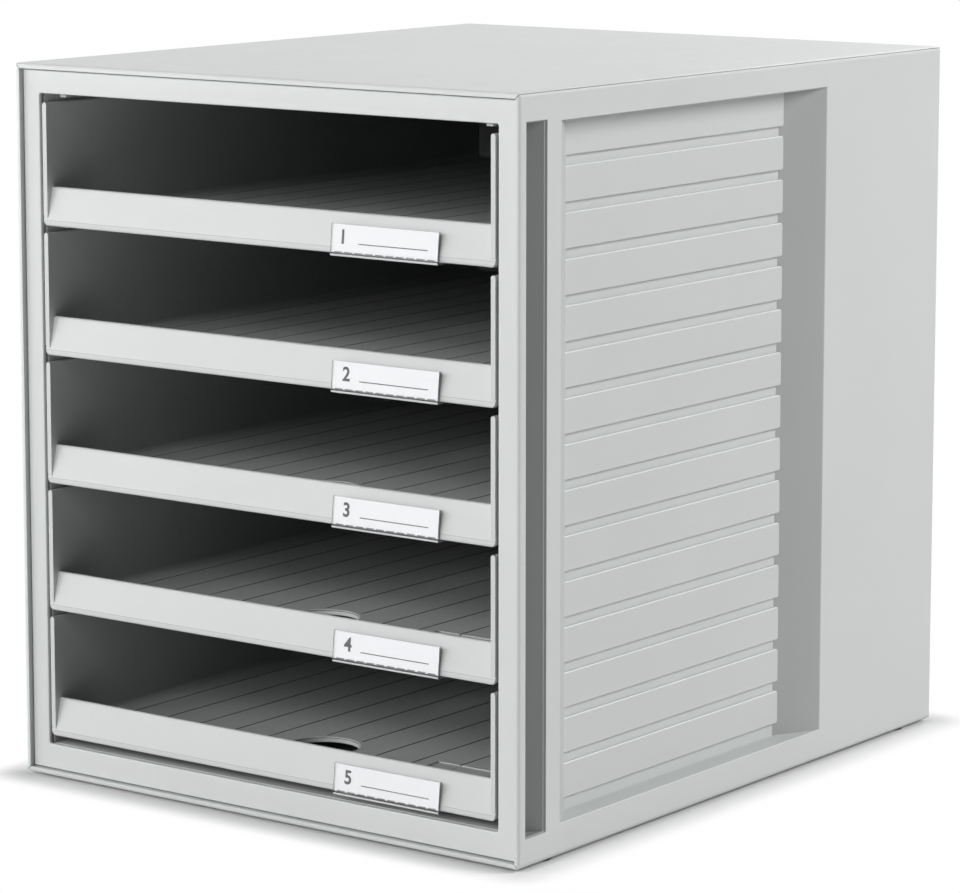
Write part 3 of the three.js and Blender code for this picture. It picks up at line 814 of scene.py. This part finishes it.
class FILEDRAWER_OT_label_cards(bpy.types.Operator):
    """Makes the cards with their torn teeth, plain numbers and ruled lines."""

    bl_idname = "file_drawer.label_cards"
    bl_label = "Label cards"

    def execute(self, context):
        labels = settings().labels
        card_finish = paper_card()
        ink = printed_ink()
        for bay in BAYS:
            name = f"label_card_{bay}"
            card = moulding_copy(name)
            card.data.materials.append(card_finish)
            front = min(card.data.polygons, key=lambda face: face.normal.y)
            corners = [card.data.vertices[index].co.copy() for index in front.vertices]
            lowest = min(corners, key=lambda corner: corner.x + corner.z)
            highest = min(corners, key=lambda corner: corner.x - corner.z)
            length = max(corner.x for corner in corners) - lowest.x
            upward = (highest - lowest).normalized()
            lean = math.atan2(upward.y, upward.z)
            tear_teeth(card, lowest, length)
            foot = lowest + upward * labels.print_height
            number = printed_number(bay, labels.number_height)
            lay_on_card(number, foot + Vector((labels.number_inset, 0, 0)), lean)
            line = ruled_line(labels.line_length, labels.line_width)
            lay_on_card(line, foot + Vector((labels.line_inset, 0, 0)), lean)
            for print_piece in (number, line):
                print_piece.data.materials.append(ink)
            select_only(number, line, card)
            bpy.ops.object.join()
            shade(card)
            stand_for(card, name, f"drawer_{bay}")
        return {"FINISHED"}


class FILEDRAWER_OT_feet(bpy.types.Operator):
    """Finishes the four rubber feet."""

    bl_idname = "file_drawer.feet"
    bl_label = "Feet"

    def execute(self, context):
        rubber = foot_rubber()
        for end in ("front", "rear"):
            for side in ("left", "right"):
                name = f"foot_{end}_{side}"
                piece = moulding_copy(name)
                shade(piece)
                piece.data.materials.append(rubber)
                stand_for(piece, name, CASING_BODY)
        return {"FINISHED"}


# Studio

def soft_box(name, place, size, power):
    """An area lamp that looks at the middle of the cabinet."""
    data = bpy.data.lights.new(name, "AREA")
    data.shape = "RECTANGLE"
    data.size, data.size_y = size
    data.energy = power
    lamp = bpy.data.objects.new(name, data)
    bpy.context.scene.collection.objects.link(lamp)
    lamp.location = place
    direction = LAMP_AIM - Vector(place)
    lamp.rotation_euler = direction.to_track_quat("-Z", "Y").to_euler()


def background_share(tree):
    """1 for rays that see the background itself.

    They come from the camera, from a reflection or through clear sheet.
    """
    path = tree.nodes.new("ShaderNodeLightPath")
    share = path.outputs["Is Camera Ray"]
    for kind in ("Is Glossy Ray", "Is Transmission Ray"):
        larger = tree.nodes.new("ShaderNodeMath")
        larger.operation = "MAXIMUM"
        tree.links.new(share, larger.inputs[0])
        tree.links.new(path.outputs[kind], larger.inputs[1])
        share = larger.outputs["Value"]
    return share


def surround(strength):
    """A white background that gives the cabinet an even light of this strength."""
    world = bpy.data.worlds.new("studio")
    bpy.context.scene.world = world
    world.use_nodes = True
    tree = world.node_tree
    tree.nodes.clear()
    light = tree.nodes.new("ShaderNodeBackground")
    light.inputs["Strength"].default_value = strength
    white = tree.nodes.new("ShaderNodeBackground")
    white.inputs["Color"].default_value = (1, 1, 1, 1)
    white.inputs["Strength"].default_value = 1
    mix = tree.nodes.new("ShaderNodeMixShader")
    out = tree.nodes.new("ShaderNodeOutputWorld")
    tree.links.new(background_share(tree), mix.inputs["Fac"])
    tree.links.new(light.outputs["Background"], mix.inputs[1])
    tree.links.new(white.outputs["Background"], mix.inputs[2])
    tree.links.new(mix.outputs["Shader"], out.inputs["Surface"])


def distance_outside(finish, half_size):
    """How far a place on the floor lies from the cabinet's footprint."""
    vector = "ShaderNodeVectorMath"
    mirrored = finish.combine("ABSOLUTE", finish.place, kind=vector)
    beyond = finish.combine("SUBTRACT", mirrored, (*half_size, 0), kind=vector)
    outside = finish.combine("MAXIMUM", beyond, kind=vector)
    length = finish.add(vector, operation="LENGTH")
    finish.join(outside, length.inputs[0])
    return length.outputs["Value"]


def floor_finish(colour, bounce, half_size, reach):
    """A pale matt floor with the shadow at the cabinet's foot, white further out."""
    finish = Finish("pale_floor")
    sockets = finish.shader.inputs
    background = background_share(finish.tree)
    tone = finish.add("ShaderNodeMix", data_type="RGBA")
    tone.inputs["A"].default_value = (*[channel * bounce for channel in colour], 1)
    tone.inputs["B"].default_value = (*colour, 1)
    finish.join(background, tone.inputs["Factor"])
    finish.join(tone.outputs["Result"], sockets["Base Color"])
    sockets["Roughness"].default_value = 0.9
    sockets["Specular IOR Level"].default_value = 0.1
    fade = finish.carry_over(
        distance_outside(finish, half_size), (0, reach), (0, 1),
        interpolation_type="SMOOTHSTEP")
    white = finish.add("ShaderNodeEmission")
    mix = finish.add("ShaderNodeMixShader")
    out = finish.tree.nodes["Material Output"]
    finish.join(finish.combine("MULTIPLY", fade, background), mix.inputs["Fac"])
    finish.join(finish.shader.outputs["BSDF"], mix.inputs[1])
    finish.join(white.outputs["Emission"], mix.inputs[2])
    finish.join(mix.outputs["Shader"], out.inputs["Surface"])
    return finish.material


class FILEDRAWER_OT_studio(bpy.types.Operator):
    """Lays the pale floor and hangs the soft boxes."""

    bl_idname = "file_drawer.studio"
    bl_label = "Studio"

    def execute(self, context):
        studio = settings().studio
        select_only()
        bpy.ops.mesh.primitive_plane_add(size=FLOOR_SIZE, location=(0, 0, 0))
        floor = context.object
        floor.name = "floor"
        footprint = (cad_box[1].x, cad_box[1].y)
        floor.data.materials.append(floor_finish(
            studio.floor_colour, studio.floor_bounce, footprint, studio.shadow_reach))
        for name, (place, size) in SOFT_BOXES.items():
            soft_box(f"{name}_box", place, size, getattr(studio, f"{name}_power"))
        surround(studio.surround)
        context.scene.view_settings.view_transform = "Standard"
        return {"FINISHED"}


PIECE_OPERATORS = (
    FILEDRAWER_OT_camera,
    FILEDRAWER_OT_casing,
    FILEDRAWER_OT_trays,
    FILEDRAWER_OT_label_holders,
    FILEDRAWER_OT_label_cards,
    FILEDRAWER_OT_feet,
    FILEDRAWER_OT_studio,
)


class FILEDRAWER_PT_panel(bpy.types.Panel):
    """Lists the file drawer's settings and steps."""

    bl_idname = "FILEDRAWER_PT_panel"
    bl_label = "File drawer"
    bl_space_type = "VIEW_3D"
    bl_region_type = "UI"
    bl_category = "File drawer"

    def draw(self, context):
        for group_name in ("camera", "plastic", "edges", "labels", "studio"):
            group = getattr(settings(), group_name)
            rows = self.layout.box()
            for key in group.__annotations__:
                rows.prop(group, key)
        for operator in PIECE_OPERATORS:
            self.layout.operator(operator.bl_idname)


CLASSES = (
    CameraSettings, PlasticSettings, EdgeSettings, LabelSettings, StudioSettings,
    FileDrawerSettings, *PIECE_OPERATORS, FILEDRAWER_PT_panel,
)


def register():
    for cls in CLASSES:
        bpy.utils.register_class(cls)
    bpy.types.Scene.file_drawer = bpy.props.PointerProperty(type=FileDrawerSettings)


def unregister():
    del bpy.types.Scene.file_drawer
    for cls in reversed(CLASSES):
        bpy.utils.unregister_class(cls)


def main():
    register()
    for name in ("camera", "casing", "trays", "label_holders", "label_cards", "feet", "studio"):
        getattr(bpy.ops.file_drawer, name)()


if __name__ == "__main__":
    main()
